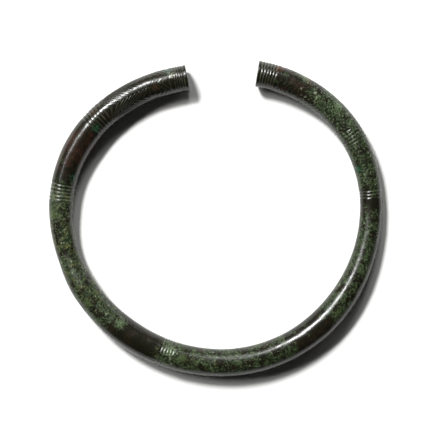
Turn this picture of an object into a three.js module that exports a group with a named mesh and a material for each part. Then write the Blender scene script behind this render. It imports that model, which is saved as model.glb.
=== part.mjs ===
// A penannular bronze bracelet: one cast bar of round section, bent by hand into a slightly uneven ring that lies
// flat. Its two ends face each other across a gap and are cut off square. Each arm carries three bands of cut
// grooves, with a field of chevrons between the first two, and one more band crosses the back of the ring.
// Millimetres and degrees. Seen from above, the gap is at +Y and the bar runs clockwise from the right end.
import * as THREE from 'three';

// The bent centreline: a circle, made slightly oval, with three soft corners and four softer ones
const meanRadius = 36.38;
const ovalSpread = 1.25;
const ovalTowards = 85;
const cornerSpread = 0.68;
const cornerTowards = 48;
const squareSpread = 0.12;
const squareTowards = 43;
const rightEndAngle = 15.5;
const leftEndAngle = 347.7;
const endBendAngle = 18; // over this much of each end, it is bent out of that curve
const rightEndBend = 0.25;
const leftEndBend = -0.35;

// The bar's thickness, which swells towards the back and the ends and is least at the two sides
const rightEndThick = 6.5;
const rightFieldThick = 6.1;
const rightSideThick = 5.4;
const rightBackThick = 6.7;
const leftBackThick = 6.9;
const lowerLeftThick = 6.45;
const leftSideThick = 5.45;
const leftBandThick = 6.05;
const leftPlainThick = 6.6;
const leftFieldThick = 6.3;
const leftEndThick = 6.5;

// Where along the bar those are, as shares of its length from the right end
const barThickness = [
  { share: 0, thick: rightEndThick },
  { share: 0.12, thick: rightFieldThick },
  { share: 0.23, thick: rightSideThick },
  { share: 0.38, thick: rightBackThick },
  { share: 0.5, thick: rightBackThick },
  { share: 0.6, thick: leftBackThick },
  { share: 0.67, thick: lowerLeftThick },
  { share: 0.725, thick: leftSideThick },
  { share: 0.79, thick: leftBandThick },
  { share: 0.87, thick: leftPlainThick },
  { share: 0.95, thick: leftFieldThick },
  { share: 1, thick: leftEndThick },
];

const wornFlat = 1.2; // width of the flat that the ring has worn on its underside
const endBevel = 0.35; // softened rim round each end face

// Bands of grooves cut straight across the bar, with a land of metal left between one groove and the next
const grooveWidth = 0.42;
const grooveDepth = 0.14;
const endLand = 0.3; // metal left between the rim and the first groove
const bandGap = 0.4; // metal left between a band and the chevrons

// Each arm, from its end inwards. Field and plain are lengths of bar, with chevrons and without.
const rightArm = {
  endBand: { grooves: 6, land: 0.28 },
  field: 19.4,
  innerBand: { grooves: 7, land: 0.43 },
  plain: 12,
  sideBand: { grooves: 3, land: 0.35 },
  wear: 0.4, // share of the chevrons' depth that is worn away
};
const leftArm = {
  endBand: { grooves: 5, land: 0.18 },
  field: 18.4,
  innerBand: { grooves: 5, land: 0.48 },
  plain: 15.5,
  sideBand: { grooves: 5, land: 0.44 },
  wear: 0,
};
const backBand = { grooves: 5, land: 0.33 };
const plainToBack = 46.4; // from the left arm's last groove

// The chevrons are slanted cuts that meet in points along the top, the underside and both sides of the bar
const chevronPitch = 1.1;
const chevronDepth = 0.1;
const chevronReach = 4.2; // along the bar, from a chevron's point to its feet
const chevronRowCount = 4;
const turnedReach = 0.5; // share of that reach by which they point the other way, next to the end
const turnedLength = 3; // of the field, from the end band to where they begin to turn round
const turningLength = 6; // over which they turn round
const leanInLength = 2; // over which they begin to lean, next to the end band
const leanOutLength = 4; // over which they come straight again, next to the inner band

// How finely the solid is cut into facets
const sectionSides = 4 * chevronRowCount;
const plainStep = 3.4;
const centrelineSteps = 1440;

const { clamp, degToRad, lerp, smoothstep } = THREE.MathUtils;

function centreRadius(angle) {
  const oval = ovalSpread * Math.cos(2 * degToRad(angle - ovalTowards));
  const corners = cornerSpread * Math.cos(3 * degToRad(angle - cornerTowards));
  const square = squareSpread * Math.cos(4 * degToRad(angle - squareTowards));
  const rightBend = rightEndBend * (1 - smoothstep(angle, rightEndAngle, rightEndAngle + endBendAngle));
  const leftBend = leftEndBend * smoothstep(angle, leftEndAngle - endBendAngle, leftEndAngle);
  return meanRadius + oval + corners + square + rightBend + leftBend;
}

// The centreline as points, each with its distance along the bar from the right end
function makeCentreline() {
  const points = [];
  let distance = 0;
  for (let i = 0; i <= centrelineSteps; i += 1) {
    const angle = lerp(rightEndAngle, leftEndAngle, i / centrelineSteps);
    const radius = centreRadius(angle);
    const at = new THREE.Vector2(Math.sin(degToRad(angle)), Math.cos(degToRad(angle))).multiplyScalar(radius);
    if (i > 0) distance += at.distanceTo(points[i - 1].at);
    points.push({ at, distance });
  }
  return points;
}

const centreline = makeCentreline();
const barLength = centreline[centrelineSteps].distance;

// A place on the centreline, and the direction that points out of the ring there
function placeAt(distance) {
  const step = centreline.findIndex((point) => point.distance > distance);
  const next = step < 0 ? centrelineSteps : Math.max(1, step);
  const from = centreline[next - 1];
  const to = centreline[next];
  const share = (distance - from.distance) / (to.distance - from.distance);
  const along = to.at.clone().sub(from.at).normalize();
  return { at: from.at.clone().lerp(to.at, share), outward: new THREE.Vector2(-along.y, along.x) };
}

// Half the bar's thickness, eased between the places where it is given
function barRadius(distance) {
  const share = clamp(distance / barLength, 0, 1);
  const next = Math.max(1, barThickness.findIndex((place) => place.share >= share));
  const from = barThickness[next - 1];
  const to = barThickness[next];
  return lerp(from.thick, to.thick, smoothstep(share, from.share, to.share)) / 2;
}

// How far the chevrons lean at a distance into the field. They are straight across at both its edges, and turn
// round near the end of the arm.
function leanAt(distance, length) {
  const turned = smoothstep(distance, turnedLength, turnedLength + turningLength);
  const settled = smoothstep(distance, 0, leanInLength) * smoothstep(length - distance, 0, leanOutLength);
  return lerp(-turnedReach, 1, turned) * settled;
}

// The solid is skinned over rings of corners. A ring has a distance along the bar, the depth that it is cut to, and
// the lean of its chevron. A groove takes three rings, for its two edges and its bottom.
function cutBand(band, start) {
  const rings = [];
  for (let i = 0; i < band.grooves; i += 1) {
    const edge = start + i * (grooveWidth + band.land);
    rings.push({ distance: edge, cut: 0, lean: 0 });
    rings.push({ distance: edge + grooveWidth / 2, cut: grooveDepth, lean: 0 });
    rings.push({ distance: edge + grooveWidth, cut: 0, lean: 0 });
  }
  return { rings, end: rings[rings.length - 1].distance };
}

// A chevron takes two rings, for a crest and the bottom after it
function cutField(length, depth, start) {
  const chevrons = Math.max(1, Math.round(length / chevronPitch));
  const rings = [];
  for (let i = 0; i < chevrons; i += 1) {
    const crest = (length * (i + 0.25)) / chevrons;
    const bottom = (length * (i + 0.75)) / chevrons;
    rings.push({ distance: start + crest, cut: 0, lean: leanAt(crest, length) });
    rings.push({ distance: start + bottom, cut: depth, lean: leanAt(bottom, length) });
  }
  return { rings, end: start + length };
}

// One arm's rings, with distances from its own end
function cutArm(arm) {
  const rim = [{ distance: 0, cut: endBevel, lean: 0 }, { distance: endBevel, cut: 0, lean: 0 }];
  const endBand = cutBand(arm.endBand, endBevel + endLand);
  const field = cutField(arm.field, chevronDepth * (1 - arm.wear), endBand.end + bandGap);
  const innerBand = cutBand(arm.innerBand, field.end + bandGap);
  const sideBand = cutBand(arm.sideBand, innerBand.end + arm.plain);
  const rings = [...rim, ...endBand.rings, ...field.rings, ...innerBand.rings, ...sideBand.rings];
  return { rings, end: sideBand.end };
}

// Fills plain metal in wherever two rings are far apart
function fillPlain(rings) {
  return rings.flatMap((ring, i) => {
    const gap = i + 1 < rings.length ? rings[i + 1].distance - ring.distance : 0;
    const steps = Math.max(1, Math.ceil(gap / plainStep));
    const fill = Array.from({ length: steps - 1 }, (_, k) => ({
      distance: ring.distance + (gap * (k + 1)) / steps,
      cut: 0,
      lean: 0,
    }));
    return [ring, ...fill];
  });
}

// All the rings, from the right end round to the left
function makeRings() {
  const right = cutArm(rightArm);
  const left = cutArm(leftArm);
  const back = cutBand(backBand, left.end + plainToBack);
  const fromLeftEnd = [...left.rings, ...back.rings];
  const mirrored = fromLeftEnd.map(({ distance, cut, lean }) => ({
    distance: barLength - distance,
    cut,
    lean: -lean,
  }));
  return fillPlain([...right.rings, ...mirrored].sort((a, b) => a.distance - b.distance));
}

// A chevron's points lie where this is -1, and its feet where it is 1. The share runs once round the section.
function rowAt(share) {
  const inRow = (share * chevronRowCount) % 1;
  return 4 * Math.min(inRow, 1 - inRow) - 1;
}

// One corner of a ring. Shares start at one edge of the worn flat, pass the outside, the top and the inside, and
// end at the flat's other edge.
function cornerPlace(ring, share) {
  const distance = ring.distance + (ring.lean * chevronReach * rowAt(share)) / 2;
  const { at, outward } = placeAt(distance);
  const full = barRadius(distance);
  const halfFlat = Math.asin(wornFlat / 2 / full);
  const direction = lerp(halfFlat, 2 * Math.PI - halfFlat, share) - Math.PI / 2;
  const radius = full - ring.cut;
  const sideways = radius * Math.cos(direction);
  const height = full * Math.cos(halfFlat) + radius * Math.sin(direction);
  return [at.x + outward.x * sideways, at.y + outward.y * sideways, height];
}

// Skins the rings, closes both ends with flat faces, and sets the origin under the middle of the ring
function makeBar() {
  const rings = makeRings();
  const corners = sectionSides + 1;
  const positions = rings.flatMap((ring) =>
    Array.from({ length: corners }, (_, j) => cornerPlace(ring, j / sectionSides)).flat());
  const indices = [];
  for (let i = 0; i < rings.length - 1; i += 1) {
    for (let j = 0; j < corners; j += 1) {
      const a = i * corners + j;
      const b = i * corners + ((j + 1) % corners);
      indices.push(a, b, a + corners, b, b + corners, a + corners);
    }
  }
  const lastRing = (rings.length - 1) * corners;
  for (let j = 1; j < corners - 1; j += 1) {
    indices.push(0, j + 1, j);
    indices.push(lastRing, lastRing + j, lastRing + j + 1);
  }
  const geometry = new THREE.BufferGeometry();
  geometry.setAttribute('position', new THREE.Float32BufferAttribute(positions, 3));
  geometry.setIndex(indices);
  geometry.computeBoundingBox();
  const middle = geometry.boundingBox.getCenter(new THREE.Vector3());
  geometry.translate(-middle.x, -middle.y, 0);
  geometry.computeVertexNormals();
  return geometry;
}

const patinatedBronze = new THREE.MeshStandardMaterial({ color: 0x3c4433, roughness: 0.36, metalness: 0.6 });

const bracelet = new THREE.Mesh(makeBar(), patinatedBronze);
bracelet.name = 'bracelet';

const group = new THREE.Group();
group.name = 'penannular_bracelet';
group.add(bracelet);

export default group;
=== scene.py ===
import math
from bisect import bisect_right

import bpy
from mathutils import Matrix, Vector


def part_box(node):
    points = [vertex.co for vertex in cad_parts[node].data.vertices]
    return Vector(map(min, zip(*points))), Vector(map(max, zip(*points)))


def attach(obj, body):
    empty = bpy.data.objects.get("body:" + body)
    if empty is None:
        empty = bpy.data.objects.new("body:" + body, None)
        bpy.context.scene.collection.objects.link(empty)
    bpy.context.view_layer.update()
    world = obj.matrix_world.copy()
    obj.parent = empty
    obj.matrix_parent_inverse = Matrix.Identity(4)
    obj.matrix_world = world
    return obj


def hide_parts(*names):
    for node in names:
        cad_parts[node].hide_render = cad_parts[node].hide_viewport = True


# An ancient open bracelet of cast bronze, seen from straight above. A Geometry Nodes tree sweeps the bar
# round its bent centreline, over the rings that this script lays out, and one material gives it its
# polished green patina.

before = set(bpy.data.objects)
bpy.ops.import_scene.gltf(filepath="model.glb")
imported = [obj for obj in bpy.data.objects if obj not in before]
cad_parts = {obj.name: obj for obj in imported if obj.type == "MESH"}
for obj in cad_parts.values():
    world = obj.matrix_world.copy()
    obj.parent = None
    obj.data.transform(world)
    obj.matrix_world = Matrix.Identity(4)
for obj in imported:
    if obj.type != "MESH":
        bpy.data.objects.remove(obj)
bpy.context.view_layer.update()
mm = 0.001

# The kinds of node that come up most
mathNode = "ShaderNodeMath"
vectorNode = "ShaderNodeVectorMath"
rangeNode = "ShaderNodeMapRange"
noiseNode = "ShaderNodeTexNoise"
mixNode = "ShaderNodeMix"  # it takes numbers at 2 and 3, or colours at 6 and 7, which come out at 2
readNode = "GeometryNodeInputNamedAttribute"
storeNode = "GeometryNodeStoreNamedAttribute"


def addNode(tree, kind, links=(), **settings):
    node = tree.nodes.new(kind)
    for name, value in settings.items():
        setattr(node, name, value)
    for socket, value in dict(links).items():
        if isinstance(value, bpy.types.NodeSocket):
            tree.links.new(value, node.inputs[socket])
        else:
            node.inputs[socket].default_value = value
    return node


def colour(hexValue):
    # From sRGB to linear
    parts = [int(hexValue[i:i + 2], 16) / 255 for i in (1, 3, 5)]
    return [p / 12.92 if p <= 0.04045 else ((p + 0.055) / 1.055) ** 2.4 for p in parts] + [1]


def smoothstep(value, low, high):
    share = min(max((value - low) / (high - low), 0), 1)
    return share * share * (3 - 2 * share)


# The bar. Sizes are in millimetres, and angles in degrees clockwise from the gap.
bar = {
    "meanRadius": 36.38,
    "ovalSpread": 1.25,
    "ovalTowards": 85,
    "cornerSpread": 0.68,
    "cornerTowards": 48,
    "squareSpread": 0.12,
    "squareTowards": 43,
    "rightEndAngle": 15.5,
    "leftEndAngle": 347.7,
    "endBendAngle": 18,
    "rightEndBend": 0.25,
    "leftEndBend": -0.35,
    # thickness at shares of the bar's length
    "thickness": [(0, 6.5), (0.12, 6.1), (0.23, 5.4), (0.38, 6.7), (0.5, 6.7), (0.6, 6.9),
                  (0.67, 6.45), (0.725, 5.45), (0.79, 6.05), (0.87, 6.6), (0.95, 6.3), (1, 6.5)],
    "inset": 0.02,  # keeps the round skin within the faceted solid
    "wornFlat": 1.2,
    "endBevel": 0.35,
    "faceRings": 8,  # that close the flat face of an end
    "rimSteps": 6,  # round the rim of that face
    "sides": 96,
    "plainStep": 0.34,
    "centrelineSteps": 1440,
    "mergeWithin": 0.001,  # points of the skin that lie this close become one
}

# Cut decoration. A band is its number of grooves and the land between them, and each arm runs from its end
# inwards, with lengths of bar for its field of chevrons and its plain part.
cuts = {
    "grooveWidth": 0.42,
    "grooveDepth": 0.14,
    "grooveSteps": 4,
    "endLand": 0.3,
    "bandGap": 0.4,
    "right": {"endBand": (6, 0.28), "field": 19.4, "innerBand": (7, 0.43), "plain": 12,
              "sideBand": (3, 0.35), "wear": 0.4},
    "left": {"endBand": (5, 0.18), "field": 18.4, "innerBand": (5, 0.48), "plain": 15.5,
             "sideBand": (5, 0.44), "wear": 0},
    "backBand": (5, 0.33),
    "plainToBack": 46.4,
    "chevronPitch": 1.1,
    "chevronDepth": 0.1,
    "chevronSteps": 8,
    "chevronReach": 4.2,
    "chevronRows": 4,
    "turnedReach": 0.5,
    "turnedLength": 3,
    "turningLength": 6,
    "leanInLength": 2,
    "leanOutLength": 4,
    # noise wears the cuts where it is below the second of its levels, down to the least share at the first
    "wearLevels": (0.35, 0.6),
    "leastKept": 0.7,
    "deepestCut": 0.3,  # rings that are set in deeper close the ends, and don't wear
    # the line round the section along which hands have rubbed the cuts away, and its reach
    "rubbedLine": 0.44,
    "rubbedReach": 0.1,
    # faint strokes of the graver on the plain bar, each between two places, which are an angle and a
    # distance out from the centreline
    "strokes": [((97.3, -1.0), (92.9, 0.3)), ((92.9, 0.3), (95.2, 1.9)), ((99.6, 0.4), (101.1, 1.6)),
                ((155, -0.6), (155.8, 0.6)), ((157, -0.6), (157.8, 0.6)), ((181, -1.2), (184, 0.2)),
                ((184, 0.2), (187, -1.0)), ((191, -1.5), (193, 0)), ((193, 0), (191, 1.5)),
                ((194, -1.5), (196, 0)), ((196, 0), (194, 1.5))],
}

# Where each kind of patina lies along the bar, as spans of angle with their strength
patinaSpans = {
    "everywhere": [(0, 360, 1)],
    "green": [(14, 36, 0.5), (36, 84, 0.9), (84, 136, 0.8), (136, 148, 0.5), (148, 208, 0.8),
              (208, 222, 0.4), (222, 284, 0.85), (284, 300, 0.45), (300, 350, 0.35)],
    "olive": [(74, 100, 0.3), (118, 130, 0.4), (176, 210, 0.6), (228, 284, 0.7)],
    "brown": [(22, 40, 0.5), (150, 170, 0.25), (284, 306, 0.8), (316, 332, 0.3)],
    "crust": [(28, 46, 0.8), (46, 64, 0.5), (86, 104, 0.4), (194, 206, 0.8), (217, 229, 0.5),
              (262, 284, 0.6)],
    "corroded": [(15, 46, 0.5), (46, 78, 0.9), (78, 112, 0.6), (145, 152, 0.4), (168, 212, 0.6),
                 (222, 286, 0.8), (334, 352, 0.6)],
}
spanBlur = 7  # degrees over which a span fades in and out

# Where the cuts are worn, as spans of angle with the share of their depth that is gone
wornSpans = [(40, 62, 0.55), (84, 96, 0.35), (188, 206, 0.3), (325, 340, 0.35)]


def centreRadius(angle):
    oval = bar["ovalSpread"] * math.cos(2 * math.radians(angle - bar["ovalTowards"]))
    corners = bar["cornerSpread"] * math.cos(3 * math.radians(angle - bar["cornerTowards"]))
    square = bar["squareSpread"] * math.cos(4 * math.radians(angle - bar["squareTowards"]))
    right, left, bend = bar["rightEndAngle"], bar["leftEndAngle"], bar["endBendAngle"]
    rightBend = bar["rightEndBend"] * (1 - smoothstep(angle, right, right + bend))
    leftBend = bar["leftEndBend"] * smoothstep(angle, left - bend, left)
    return bar["meanRadius"] + oval + corners + square + rightBend + leftBend


def makeCentreline():
    points, angles, distances = [], [], []
    for i in range(bar["centrelineSteps"] + 1):
        share = i / bar["centrelineSteps"]
        angle = bar["rightEndAngle"] + (bar["leftEndAngle"] - bar["rightEndAngle"]) * share
        turn = math.radians(angle)
        at = Vector((math.sin(turn), math.cos(turn), 0)) * centreRadius(angle)
        distances.append(distances[-1] + (at - points[-1]).length if points else 0)
        points.append(at)
        angles.append(angle)
    return points, angles, distances


centreline, centreAngles, centreDistances = makeCentreline()
barLength = centreDistances[-1]


def thicknessAt(distance):
    share = min(max(distance / barLength, 0), 1)
    for (low, before), (high, after) in zip(bar["thickness"], bar["thickness"][1:]):
        if share <= high:
            return before + (after - before) * smoothstep(share, low, high)


def strengthAt(spans, distance):
    angle = centreAngles[min(bisect_right(centreDistances, distance), len(centreAngles) - 1)]
    return max(strength * smoothstep(angle, low - spanBlur, low + spanBlur)
               * (1 - smoothstep(angle, high - spanBlur, high + spanBlur))
               for low, high, strength in spans)


def placeOnBar(angle, out):
    # A point on the upper side of the bar
    step = min(bisect_right(centreAngles, angle), len(centreAngles) - 2)
    along = (centreline[step + 1] - centreline[step]).normalized()
    radius = thicknessAt(centreDistances[step]) / 2
    middle = math.sqrt(radius ** 2 - (bar["wornFlat"] / 2) ** 2)
    height = middle + math.sqrt(radius ** 2 - out ** 2)
    return centreline[step] + Vector((-along.y * out, along.x * out, height))


# The skin is swept over rings. A ring is its distance along the bar, the depth that it is cut to, and how
# far its chevron leans.
def cutBand(band, start):
    count, land = band
    rings = []
    for i in range(count):
        edge = start + i * (cuts["grooveWidth"] + land)
        for k in range(cuts["grooveSteps"] + 1):
            share = k / cuts["grooveSteps"]
            depth = cuts["grooveDepth"] * math.sin(math.pi * share)
            rings.append((edge + cuts["grooveWidth"] * share, depth, 0))
    return rings, rings[-1][0]


def leanAt(distance, length):
    turned = smoothstep(distance, cuts["turnedLength"], cuts["turnedLength"] + cuts["turningLength"])
    settledIn = smoothstep(distance, 0, cuts["leanInLength"])
    settledOut = smoothstep(length - distance, 0, cuts["leanOutLength"])
    return settledIn * settledOut * (turned - cuts["turnedReach"] * (1 - turned))


def cutField(length, depth, start):
    chevrons = round(length / cuts["chevronPitch"])
    steps = chevrons * cuts["chevronSteps"]
    rings = []
    for i in range(steps + 1):
        along = length * i / steps
        wave = (1 - math.cos(2 * math.pi * i / cuts["chevronSteps"])) / 2
        rings.append((start + along, depth * wave ** 2, leanAt(along, length)))
    return rings, start + length


def cutArm(arm):
    endBand, end = cutBand(arm["endBand"], bar["endBevel"] + cuts["endLand"])
    depth = cuts["chevronDepth"] * (1 - arm["wear"])
    field, end = cutField(arm["field"], depth, end + cuts["bandGap"])
    innerBand, end = cutBand(arm["innerBand"], end + cuts["bandGap"])
    sideBand, end = cutBand(arm["sideBand"], end + arm["plain"])
    return endBand + field + innerBand + sideBand, end


def closeEnd(distance):
    # The flat face closes on a point in the middle, and its rim is rounded
    radius = thicknessAt(distance) / 2
    bevel = bar["endBevel"]
    face = [(0, radius + (bevel - radius) * k / bar["faceRings"], 0) for k in range(bar["faceRings"])]
    turns = [math.pi / 2 * k / bar["rimSteps"] for k in range(bar["rimSteps"] + 1)]
    rim = [(bevel * (1 - math.cos(turn)), bevel * (1 - math.sin(turn)), 0) for turn in turns]
    return face + rim


def fillPlain(rings):
    filled = []
    for ring, following in zip(rings, rings[1:]):
        gap = following[0] - ring[0]
        steps = max(1, math.ceil(gap / bar["plainStep"]))
        filled += [ring] + [(ring[0] + gap * k / steps, 0, 0) for k in range(1, steps)]
    return filled + rings[-1:]


def mirror(rings):
    return [(barLength - distance, cut, -lean) for distance, cut, lean in reversed(rings)]


def layOutRings():
    right, _ = cutArm(cuts["right"])
    left, leftEnd = cutArm(cuts["left"])
    back, _ = cutBand(cuts["backBand"], leftEnd + cuts["plainToBack"])
    carved = [(distance, cut * (1 - strengthAt(wornSpans, distance)), lean)
              for distance, cut, lean in right + mirror(left + back)]
    return fillPlain(closeEnd(0) + carved + mirror(closeEnd(barLength)))


# What each ring tells the skin over it
ringKeys = ("distance", "thick", "cut", "lean", "dirt") + tuple(patinaSpans)


def valuesOf(rings):
    # Dirt gathers in the cuts, the more the deeper they are, and none lies on the rings that close the ends
    full = cuts["grooveDepth"]
    values = {
        "distance": [distance * mm for distance, _, _ in rings],
        "thick": [(thicknessAt(distance) - 2 * bar["inset"]) * mm for distance, _, _ in rings],
        "cut": [cut * mm for _, cut, _ in rings],
        "lean": [lean for _, _, lean in rings],
        "dirt": [(cut / full) ** 2 if cut <= full else 0 for _, cut, _ in rings],
    }
    for kind, spans in patinaSpans.items():
        values[kind] = [strengthAt(spans, distance) for distance, _, _ in rings]
    return values


# Relief that the graver and the years left on the surface, in millimetres
relief = {
    "Worn Flat": bar["wornFlat"],
    "Chevron Reach": cuts["chevronReach"],
    "Cut Wear Size": 3.5,
    "Rubbed Depth": 0.055,
    "Dent Depth": 0.05,
    "Dent Size": 4.5,
    "Ripple Depth": 0.016,
    "Ripple Size": 1.3,
    "Pit Depth": 0.1,
    "Pit Size": 1.1,
    "Crumb Depth": 0.045,
    "Crumb Size": 0.5,
    "Stroke Depth": 0.06,
    "Stroke Width": 0.36,
}
reliefSeed = 4.0

# Noise that sinks the surface: between which of its values, and the span that it is kept to
wornRelief = (("Dent", 0.3, 0.7, "everywhere"), ("Ripple", 0.35, 0.65, "everywhere"),
              ("Pit", 0.56, 0.72, "corroded"), ("Crumb", 0.35, 0.75, "corroded"))


def layOutSkin(tree, given):
    # A flat grid with one row of points for each ring, and one column more than the bar has corners, which
    # lies on the first and closes the skin
    ringCount = addNode(tree, "GeometryNodeAttributeDomainSize", {0: given["Rings"]}).outputs["Point Count"]
    columns = addNode(tree, mathNode, {0: given["Sides"], 1: 2.0}, operation="ADD").outputs[0]
    grid = addNode(tree, "GeometryNodeMeshGrid", {"Size X": 1.0, "Size Y": 1.0, "Vertices X": ringCount,
                                                  "Vertices Y": columns}).outputs["Mesh"]
    place = addNode(tree, "GeometryNodeInputPosition").outputs[0]
    place = addNode(tree, "ShaderNodeSeparateXYZ", {0: place}).outputs
    lastRing = addNode(tree, mathNode, {0: ringCount, 1: 1.0}, operation="SUBTRACT").outputs[0]
    ringIndex = addNode(tree, rangeNode, {"Value": place["X"], "From Min": -0.5, "From Max": 0.5,
                                          "To Min": 0.0, "To Max": lastRing}).outputs[0]
    ringIndex = addNode(tree, mathNode, {0: ringIndex}, operation="ROUND").outputs[0]
    lastColumn = addNode(tree, mathNode, {0: given["Sides"], 1: 1.0}, operation="ADD").outputs[0]
    column = addNode(tree, rangeNode, {"Value": place["Y"], "From Min": -0.5, "From Max": 0.5,
                                       "To Min": 0.0, "To Max": lastColumn}).outputs[0]
    pastCorners = addNode(tree, mathNode, {0: given["Sides"], 1: 0.5}, operation="ADD").outputs[0]
    isCorner = addNode(tree, mathNode, {0: column, 1: pastCorners}, operation="LESS_THAN").outputs[0]
    around = addNode(tree, mathNode, {0: column, 1: given["Sides"]}, operation="DIVIDE").outputs[0]
    around = addNode(tree, mathNode, {0: around, 1: isCorner}, operation="MULTIPLY").outputs[0]

    # Each point keeps what its ring says, and where it lies round the bar
    skin = addNode(tree, storeNode, {"Geometry": grid, "Name": "around", "Value": around}).outputs[0]
    for key in ringKeys:
        said = addNode(tree, readNode, {"Name": key}).outputs[0]
        value = addNode(tree, "GeometryNodeSampleIndex", {0: given["Rings"], "Value": said,
                                                          "Index": ringIndex}).outputs[0]
        skin = addNode(tree, storeNode, {"Geometry": skin, "Name": key, "Value": value}).outputs[0]
    return skin


def followCentreline(tree, given, own):
    # Chevrons shift their rings to and fro along the bar, from -1 at their points to 1 at their feet
    inRow = addNode(tree, mathNode, {0: own["around"], 1: given["Chevron Rows"]},
                    operation="MULTIPLY").outputs[0]
    inRow = addNode(tree, mathNode, {0: inRow, 1: 0.5}, operation="PINGPONG").outputs[0]
    inRow = addNode(tree, mathNode, {0: inRow, 1: 4.0, 2: -1.0}, operation="MULTIPLY_ADD").outputs[0]
    shift = addNode(tree, mathNode, {0: inRow, 1: own["lean"]}, operation="MULTIPLY").outputs[0]
    halfReach = addNode(tree, mathNode, {0: given["Chevron Reach"], 1: 0.5},
                        operation="MULTIPLY").outputs[0]
    length = addNode(tree, mathNode, {0: shift, 1: halfReach, 2: own["distance"]},
                     operation="MULTIPLY_ADD").outputs[0]
    path = addNode(tree, "GeometryNodeObjectInfo", {"Object": given["Centreline"]}).outputs["Geometry"]
    path = addNode(tree, "GeometryNodeMeshToCurve", {0: path}).outputs[0]
    onPath = addNode(tree, "GeometryNodeSampleCurve", {"Curves": path, "Length": length},
                     mode="LENGTH", use_all_curves=True).outputs
    outward = addNode(tree, vectorNode, {0: (0, 0, 1), 1: onPath["Tangent"]},
                      operation="CROSS_PRODUCT").outputs[0]
    return onPath["Position"], outward


def wearCuts(tree, given, own, centre):
    # Cuts are worn shallow here and there, and more along the line where hands rub
    low, high = cuts["wearLevels"]
    scale = addNode(tree, mathNode, {0: 1.0, 1: given["Cut Wear Size"]}, operation="DIVIDE").outputs[0]
    noise = addNode(tree, noiseNode, {"Vector": centre, "W": given["Seed"], "Scale": scale, "Detail": 3.0},
                    noise_dimensions="4D").outputs[0]
    kept = addNode(tree, rangeNode, {"Value": noise, "From Min": low, "From Max": high,
                                     "To Min": cuts["leastKept"], "To Max": 1.0}).outputs[0]
    fromLine = addNode(tree, mathNode, {0: own["around"], 1: given["Rubbed Line"]},
                       operation="SUBTRACT").outputs[0]
    fromLine = addNode(tree, mathNode, {0: fromLine}, operation="ABSOLUTE").outputs[0]
    rubbed = addNode(tree, rangeNode, {"Value": fromLine, "From Max": given["Rubbed Reach"],
                                       "To Min": given["Rubbed Depth"], "To Max": 0.0},
                     interpolation_type="SMOOTHSTEP").outputs[0]
    worn = addNode(tree, mathNode, {0: own["cut"], 1: kept}, operation="MULTIPLY").outputs[0]
    worn = addNode(tree, mathNode, {0: worn, 1: rubbed}, operation="SUBTRACT").outputs[0]
    worn = addNode(tree, mathNode, {0: worn, 1: 0.0}, operation="MAXIMUM").outputs[0]
    isCut = addNode(tree, mathNode, {0: own["cut"], 1: cuts["deepestCut"] * mm},
                    operation="LESS_THAN").outputs[0]
    return addNode(tree, mixNode, {0: isCut, 2: own["cut"], 3: worn}).outputs[0]


def sweepSection(tree, given, skin):
    # The round section, with its worn flat at the bottom
    own = {key: addNode(tree, readNode, {"Name": key}).outputs[0]
           for key in ("around", "distance", "thick", "cut", "lean")}
    centre, outward = followCentreline(tree, given, own)
    cut = wearCuts(tree, given, own, centre)
    full = addNode(tree, mathNode, {0: own["thick"], 1: 0.5}, operation="MULTIPLY").outputs[0]
    radius = addNode(tree, mathNode, {0: full, 1: cut}, operation="SUBTRACT").outputs[0]
    flat = addNode(tree, mathNode, {0: given["Worn Flat"], 1: own["thick"]}, operation="DIVIDE").outputs[0]
    flat = addNode(tree, mathNode, {0: flat}, operation="ARCSINE").outputs[0]
    opposite = addNode(tree, mathNode, {0: 2 * math.pi, 1: flat}, operation="SUBTRACT").outputs[0]
    direction = addNode(tree, rangeNode, {"Value": own["around"], "To Min": flat,
                                          "To Max": opposite}).outputs[0]
    side = addNode(tree, mathNode, {0: direction}, operation="SINE").outputs[0]
    side = addNode(tree, mathNode, {0: side, 1: radius}, operation="MULTIPLY").outputs[0]
    drop = addNode(tree, mathNode, {0: direction}, operation="COSINE").outputs[0]
    drop = addNode(tree, mathNode, {0: drop, 1: radius}, operation="MULTIPLY").outputs[0]
    middle = addNode(tree, mathNode, {0: flat}, operation="COSINE").outputs[0]
    middle = addNode(tree, mathNode, {0: middle, 1: full}, operation="MULTIPLY").outputs[0]
    height = addNode(tree, mathNode, {0: middle, 1: drop}, operation="SUBTRACT").outputs[0]
    rise = addNode(tree, "ShaderNodeCombineXYZ", {"Z": height}).outputs[0]
    place = addNode(tree, vectorNode, {0: outward, "Scale": side}, operation="SCALE").outputs[0]
    place = addNode(tree, vectorNode, {0: place, 1: rise}, operation="ADD").outputs[0]
    place = addNode(tree, vectorNode, {0: place, 1: centre}, operation="ADD").outputs[0]
    skin = addNode(tree, "GeometryNodeSetPosition", {"Geometry": skin, "Position": place}).outputs[0]
    skin = addNode(tree, "GeometryNodeMergeByDistance", {"Geometry": skin,
                                                         "Distance": bar["mergeWithin"] * mm}).outputs[0]
    return addNode(tree, "GeometryNodeFlipFaces", {0: skin}).outputs[0]


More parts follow.
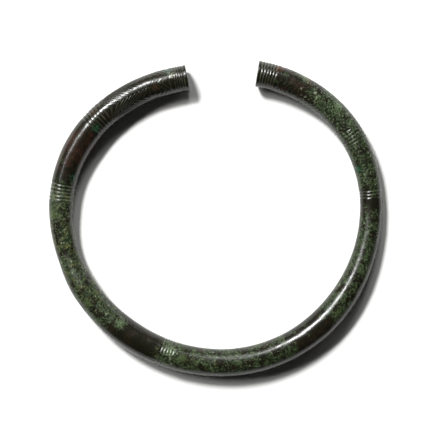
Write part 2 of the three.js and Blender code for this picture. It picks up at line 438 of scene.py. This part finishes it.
def sinkSurface(tree, given, skin):
    # Strokes of the graver, then dents, ripples, pits and crumbs, all of them inwards
    strokes = addNode(tree, "GeometryNodeObjectInfo", {"Object": given["Strokes"]}).outputs["Geometry"]
    toStroke = addNode(tree, "GeometryNodeProximity", {0: strokes},
                       target_element="EDGES").outputs["Distance"]
    halfWidth = addNode(tree, mathNode, {0: given["Stroke Width"], 1: 0.5}, operation="MULTIPLY").outputs[0]
    depth = addNode(tree, rangeNode, {"Value": toStroke, "From Min": halfWidth, "From Max": 0.0,
                                      "To Max": given["Stroke Depth"]},
                    interpolation_type="SMOOTHSTEP").outputs[0]
    at = addNode(tree, "GeometryNodeInputPosition").outputs[0]
    for name, low, high, span in wornRelief:
        strength = addNode(tree, readNode, {"Name": span}).outputs[0]
        scale = addNode(tree, mathNode, {0: 1.0, 1: given[name + " Size"]}, operation="DIVIDE").outputs[0]
        noise = addNode(tree, noiseNode, {"Vector": at, "W": given["Seed"], "Scale": scale, "Detail": 2.0},
                        noise_dimensions="4D").outputs[0]
        sunk = addNode(tree, rangeNode, {"Value": noise, "From Min": low, "From Max": high,
                                         "To Max": given[name + " Depth"]},
                       interpolation_type="SMOOTHSTEP").outputs[0]
        depth = addNode(tree, mathNode, {0: sunk, 1: strength, 2: depth},
                        operation="MULTIPLY_ADD").outputs[0]
    inwards = addNode(tree, mathNode, {0: depth, 1: -1.0}, operation="MULTIPLY").outputs[0]
    normal = addNode(tree, "GeometryNodeInputNormal").outputs[0]
    offset = addNode(tree, vectorNode, {0: normal, "Scale": inwards}, operation="SCALE").outputs[0]
    return addNode(tree, "GeometryNodeSetPosition", {"Geometry": skin, "Offset": offset}).outputs[0]


def makeSweepTree():
    tree = bpy.data.node_groups.new("Sweep The Bar", "GeometryNodeTree")
    tree.interface.new_socket("Rings", in_out="INPUT", socket_type="NodeSocketGeometry")
    tree.interface.new_socket("Bar", in_out="OUTPUT", socket_type="NodeSocketGeometry")
    inputs = [(name, "Float") for name in relief]
    inputs += [("Centreline", "Object"), ("Strokes", "Object"), ("Sides", "Int"),
               ("Chevron Rows", "Float"), ("Rubbed Line", "Float"), ("Rubbed Reach", "Float"),
               ("Seed", "Float"), ("Finish", "Material")]
    for name, kind in inputs:
        tree.interface.new_socket(name, in_out="INPUT", socket_type="NodeSocket" + kind)
    given = addNode(tree, "NodeGroupInput").outputs
    skin = layOutSkin(tree, given)
    skin = sweepSection(tree, given, skin)
    skin = sinkSurface(tree, given, skin)
    skin = addNode(tree, "GeometryNodeSetShadeSmooth", {0: skin, "Shade Smooth": True}).outputs[0]
    skin = addNode(tree, "GeometryNodeRealizeInstances", {0: skin}).outputs[0]
    skin = addNode(tree, "GeometryNodeSetMaterial", {"Geometry": skin,
                                                     "Material": given["Finish"]}).outputs[0]
    addNode(tree, "NodeGroupOutput", {0: skin})
    return tree


def makeGuide(name, points, edges, values):
    mesh = bpy.data.meshes.new(name)
    mesh.from_pydata(points, edges, [])
    for key, numbers in values.items():
        mesh.attributes.new(key, "FLOAT", "POINT").data.foreach_set("value", numbers)
    guide = bpy.data.objects.new(name, mesh)
    bpy.context.collection.objects.link(guide)
    return guide


def settleOverOrigin(mesh):
    # The middle of the ring goes over the origin, as it does in the frame
    low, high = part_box("bracelet")
    middle = []
    for k in (0, 1):
        places = [vertex.co[k] for vertex in mesh.vertices]
        middle.append((min(places) + max(places)) / 2)
    for vertex in mesh.vertices:
        vertex.co.x += (low[0] + high[0]) / 2 - middle[0]
        vertex.co.y += (low[1] + high[1]) / 2 - middle[1]


def makeBar(finish):
    rings = layOutRings()
    guide = makeGuide("rings", [(0, 0, 0)] * len(rings), [], valuesOf(rings))
    steps = range(len(centreline) - 1)
    path = makeGuide("centreline", [point * mm for point in centreline], [(i, i + 1) for i in steps], {})
    ends = [placeOnBar(*end) * mm for stroke in cuts["strokes"] for end in stroke]
    strokes = makeGuide("strokes", ends, [(i, i + 1) for i in range(0, len(ends), 2)], {})
    tree = makeSweepTree()
    sweep = guide.modifiers.new("sweep", "NODES")
    sweep.node_group = tree
    settings = {name: size * mm for name, size in relief.items()}
    settings.update({"Centreline": path, "Strokes": strokes, "Sides": bar["sides"],
                     "Chevron Rows": float(cuts["chevronRows"]), "Rubbed Line": cuts["rubbedLine"],
                     "Rubbed Reach": cuts["rubbedReach"], "Seed": reliefSeed, "Finish": finish})
    for socket in tree.interface.items_tree:
        if socket.name in settings:
            sweep[socket.identifier] = settings[socket.name]
    swept = guide.evaluated_get(bpy.context.evaluated_depsgraph_get())
    mesh = bpy.data.meshes.new_from_object(swept)
    mesh.name = "bracelet_skin"
    guide.modifiers.remove(sweep)
    for spare in (guide, path, strokes):
        bpy.data.objects.remove(spare)
    settleOverOrigin(mesh)
    mesh.materials.clear()
    mesh.materials.append(finish)
    skin = bpy.data.objects.new("bracelet_skin", mesh)
    bpy.context.collection.objects.link(skin)
    mesh.calc_loop_triangles()
    print("bar swept over", len(rings), "rings, with", len(mesh.loop_triangles), "triangles")
    return skin


# Polished patina on cast bronze. It shows as a dark glossy skin, like oiled stone, with greens clouding
# over it in blotches and specks, and it is duller and paler where the corrosion has grown into a crust.
# Sizes are in millimetres, and the finest grain is drawn as coarse as one pixel, because the real one is
# too fine to show.
patina = {
    "bare": "#15150d",
    "roughness": 0.23,
    "ior": 1.45,
    "corrodedDull": 0.05,
    "fleck": 0.42,
    "fleckLevels": (0.46, 0.6),  # flecks turn from a layer's dark tone to its pale one between these
    "fleckSeed": 2.0,
    "grain": 0.3,
    "bumpDepth": 0.03,
    "bumpStrength": 0.4,
    "layerSeed": 3.0,
    "layers": [
        {"is": "umber earth", "span": "everywhere", "size": 3.0, "thin": 0.5, "thick": 0.46, "edge": 0.2,
         "dark": "#1b170f", "pale": "#2a2217", "dull": 0.02},
        {"is": "chestnut earth", "span": "brown", "size": 2.2, "thin": 0.74, "thick": 0.32, "edge": 0.2,
         "dark": "#2b1b14", "pale": "#38241b", "dull": 0.04},
        {"is": "malachite", "span": "green", "size": 2.0, "thin": 0.72, "thick": 0.39, "edge": 0.06,
         "dark": "#12180c", "pale": "#435134", "dull": 0.07},
        {"is": "moss green", "span": "olive", "size": 1.1, "thin": 0.74, "thick": 0.42, "edge": 0.12,
         "dark": "#30361b", "pale": "#5b5e36", "dull": 0.06},
        {"is": "pale specks", "span": "green", "size": 0.5, "thin": 0.78, "thick": 0.53, "edge": 0.1,
         "dark": "#56634a", "pale": "#8e9a7c", "dull": 0.06},
        {"is": "lime crust", "span": "crust", "size": 0.8, "thin": 0.76, "thick": 0.5, "edge": 0.09,
         "dark": "#5d6450", "pale": "#8c927a", "dull": 0.09},
    ],
    # patches of one colour, each at a place seen from above, with its reach
    "patches": [
        {"is": "rust", "colour": "#5d3626",
         "places": [(16.3, 36.9, 1.2), (15.2, 36.0, 0.8), (22.6, 33.6, 0.9)]},
        {"is": "verdigris", "colour": "#627554",
         "places": [(21.8, 34.4, 1.9), (27.8, 31.5, 1.6), (29.4, 26.9, 1.4), (-22.8, -25.0, 1.6),
                    (-11.0, -31.9, 1.6)]},
        {"is": "grey verdigris", "colour": "#42544a", "places": [(-11.5, 35.7, 1.5)]},
        {"is": "pale crust", "colour": "#8f9080", "places": [(-10.7, 34.4, 0.7)]},
        {"is": "chestnut", "colour": "#3d2a1c", "places": [(-14.4, 31.5, 1.0), (-29.4, 25.2, 0.8)]},
        {"is": "bright moss", "colour": "#465232",
         "places": [(-8.0, -33.4, 1.8), (-30.5, -20.0, 1.4), (29.4, -22.5, 1.3), (-38.8, 1.0, 2.0)]},
        {"is": "emerald", "colour": "#124a30",
         "places": [(-28.6, 21.6, 1.1), (-34.1, 9.8, 0.8), (34.3, 11.9, 0.9)]},
    ],
    "patchCover": 0.75,
    "ragged": 1.2,  # how far flecks between these levels shift a patch's rim in or out
    "raggedLevels": (0.3, 0.7),
    # dirt covers the bottom of the cuts by these shares, the least where its noise is below the first
    # level and the most where it is above the second
    "dirt": "#6a6f5c",
    "dirtLeast": 0.1,
    "dirtMost": 0.4,
    "dirtSize": 2.0,
    "dirtLevels": (0.4, 0.62),
    "dirtSeed": 1.0,
}


def layLayers(tree, at, said, flecks):
    # Each layer covers more of the one below it the stronger its span is
    low, high = patina["fleckLevels"]
    lit = addNode(tree, rangeNode, {"Value": flecks, "From Min": low, "From Max": high}).outputs[0]
    skin = colour(patina["bare"])
    dull = addNode(tree, mathNode, {0: said["corroded"], 1: patina["corrodedDull"], 2: patina["roughness"]},
                   operation="MULTIPLY_ADD").outputs[0]
    for number, layer in enumerate(patina["layers"]):
        cloud = addNode(tree, noiseNode, {"Vector": at, "W": patina["layerSeed"] + number,
                                          "Scale": 1 / (layer["size"] * mm), "Detail": 5.0,
                                          "Roughness": 0.62}, noise_dimensions="4D").outputs[0]
        start = addNode(tree, rangeNode, {"Value": said[layer["span"]], "To Min": layer["thin"],
                                          "To Max": layer["thick"]}).outputs[0]
        end = addNode(tree, mathNode, {0: start, 1: layer["edge"]}, operation="ADD").outputs[0]
        cover = addNode(tree, rangeNode, {"Value": cloud, "From Min": start, "From Max": end}).outputs[0]
        tone = addNode(tree, mixNode, {0: lit, 6: colour(layer["dark"]), 7: colour(layer["pale"])},
                       data_type="RGBA").outputs[2]
        skin = addNode(tree, mixNode, {0: cover, 6: skin, 7: tone}, data_type="RGBA",
                       label=layer["is"]).outputs[2]
        dull = addNode(tree, mathNode, {0: cover, 1: layer["dull"], 2: dull},
                       operation="MULTIPLY_ADD").outputs[0]
    return skin, dull


def layPatches(tree, at, flecks, skin):
    # Patches keep their place as seen from above, and have ragged rims
    low, high = patina["raggedLevels"]
    level = addNode(tree, vectorNode, {0: at, 1: (1, 1, 0)}, operation="MULTIPLY").outputs[0]
    ragged = addNode(tree, rangeNode, {"Value": flecks, "From Min": low, "From Max": high,
                                       "To Min": patina["ragged"] * mm,
                                       "To Max": -patina["ragged"] * mm}).outputs[0]
    for patch in patina["patches"]:
        for x, y, reach in patch["places"]:
            away = addNode(tree, vectorNode, {0: level, 1: (x * mm, y * mm, 0)},
                           operation="DISTANCE").outputs["Value"]
            away = addNode(tree, mathNode, {0: away, 1: ragged}, operation="ADD").outputs[0]
            cover = addNode(tree, rangeNode, {"Value": away, "From Min": reach * mm, "From Max": 0.0,
                                              "To Max": patina["patchCover"]}).outputs[0]
            skin = addNode(tree, mixNode, {0: cover, 6: skin, 7: colour(patch["colour"])},
                           data_type="RGBA", label=patch["is"]).outputs[2]
    return skin


def layDirt(tree, at, said, skin):
    # Dirt stays in the cuts, in some places more than in others
    low, high = patina["dirtLevels"]
    left = addNode(tree, noiseNode, {"Vector": at, "W": patina["dirtSeed"],
                                     "Scale": 1 / (patina["dirtSize"] * mm), "Detail": 3.0},
                   noise_dimensions="4D").outputs[0]
    left = addNode(tree, rangeNode, {"Value": left, "From Min": low, "From Max": high,
                                     "To Min": patina["dirtLeast"],
                                     "To Max": patina["dirtMost"]}).outputs[0]
    dirt = addNode(tree, mathNode, {0: said["dirt"], 1: left}, operation="MULTIPLY").outputs[0]
    return addNode(tree, mixNode, {0: dirt, 6: skin, 7: colour(patina["dirt"])},
                   data_type="RGBA").outputs[2]


def makePatina():
    finish = bpy.data.materials.new("polished patina on cast bronze")
    finish.use_nodes = True
    tree = finish.node_tree
    tree.nodes.clear()
    at = addNode(tree, "ShaderNodeTexCoord").outputs["Object"]
    said = {key: addNode(tree, "ShaderNodeAttribute", attribute_name=key).outputs["Fac"]
            for key in ("dirt",) + tuple(patinaSpans)}
    flecks = addNode(tree, noiseNode, {"Vector": at, "W": patina["fleckSeed"],
                                       "Scale": 1 / (patina["fleck"] * mm), "Detail": 4.0,
                                       "Roughness": 0.65}, noise_dimensions="4D").outputs[0]
    skin, dull = layLayers(tree, at, said, flecks)
    skin = layPatches(tree, at, flecks, skin)
    skin = layDirt(tree, at, said, skin)
    grain = addNode(tree, noiseNode, {"Vector": at, "Scale": 1 / (patina["grain"] * mm), "Detail": 3.0,
                                      "Roughness": 0.6}).outputs[0]
    bump = addNode(tree, "ShaderNodeBump", {"Strength": patina["bumpStrength"],
                                            "Distance": patina["bumpDepth"] * mm,
                                            "Height": grain}).outputs[0]
    shader = addNode(tree, "ShaderNodeBsdfPrincipled", {"Base Color": skin, "Roughness": dull,
                                                        "IOR": patina["ior"], "Normal": bump})
    addNode(tree, "ShaderNodeOutputMaterial", {0: shader.outputs[0]})
    print("patina laid in", len(patina["layers"]), "layers")
    return finish


# The floor, the lights and the camera, in metres. Directions are an angle clockwise from the top of the
# picture, and a height.
studio = {
    "floor": "#f2f2f0",
    "floorRoughness": 0.95,
    "floorSize": 3.0,
    "lights": {
        "key": {"from": (-36, 49), "distance": 1.5, "size": (0.34, 0.28), "power": 28},
        "strip": {"from": (-51, 52), "distance": 1.5, "size": (1.0, 0.11), "power": 9.5},
        "fill": {"from": (4, 42), "distance": 0.6, "size": (0.2, 0.2), "power": 0.8},
        "card": {"from": (42, 9), "distance": 0.6, "size": (0.12, 0.12), "power": 0.35},
    },
    "sky": 0.015,
    "cameraHeight": 0.35,
    "cameraAt": (0.1 * mm, 0.62 * mm),
    "view": 105.4 * mm,  # width of what the camera sees
    "sensor": 36,  # its width in millimetres
}


def makeFloor():
    # Matt white paper, which shows as an even pale ground that takes soft shadows and has no shine
    half = studio["floorSize"] / 2
    corners = [(-half, -half, 0), (half, -half, 0), (half, half, 0), (-half, half, 0)]
    mesh = bpy.data.meshes.new("floor")
    mesh.from_pydata(corners, [], [(0, 1, 2, 3)])
    paper = bpy.data.materials.new("matt white paper")
    paper.use_nodes = True
    shader = paper.node_tree.nodes["Principled BSDF"]
    shader.inputs["Base Color"].default_value = colour(studio["floor"])
    shader.inputs["Roughness"].default_value = studio["floorRoughness"]
    mesh.materials.append(paper)
    floor = bpy.data.objects.new("floor", mesh)
    bpy.context.collection.objects.link(floor)


def makeLight(name, settings):
    turn, height = (math.radians(angle) for angle in settings["from"])
    flat = math.cos(height) * settings["distance"]
    data = bpy.data.lights.new(name, "AREA")
    data.shape = "ELLIPSE"
    data.size, data.size_y = settings["size"]
    data.energy = settings["power"]
    light = bpy.data.objects.new(name, data)
    light.location = (math.sin(turn) * flat, math.cos(turn) * flat, math.sin(height) * settings["distance"])
    light.rotation_euler = light.location.to_track_quat("Z", "Y").to_euler()
    bpy.context.collection.objects.link(light)


def makeStudio():
    scene = bpy.context.scene
    makeFloor()
    for name, settings in studio["lights"].items():
        makeLight(name, settings)
    scene.world = bpy.data.worlds.new("studio")
    scene.world.use_nodes = True
    scene.world.node_tree.nodes["Background"].inputs["Color"].default_value = (1, 1, 1, 1)
    scene.world.node_tree.nodes["Background"].inputs["Strength"].default_value = studio["sky"]
    scene.view_settings.view_transform = "Standard"
    data = bpy.data.cameras.new("camera")
    data.sensor_width = studio["sensor"]
    data.lens = studio["sensor"] * studio["cameraHeight"] / studio["view"]
    camera = bpy.data.objects.new("camera", data)
    camera.location = (*studio["cameraAt"], studio["cameraHeight"])
    bpy.context.collection.objects.link(camera)
    scene.camera = camera
    print("studio set up")


bracelet = makeBar(makePatina())
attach(bracelet, "root")
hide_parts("bracelet")
makeStudio()
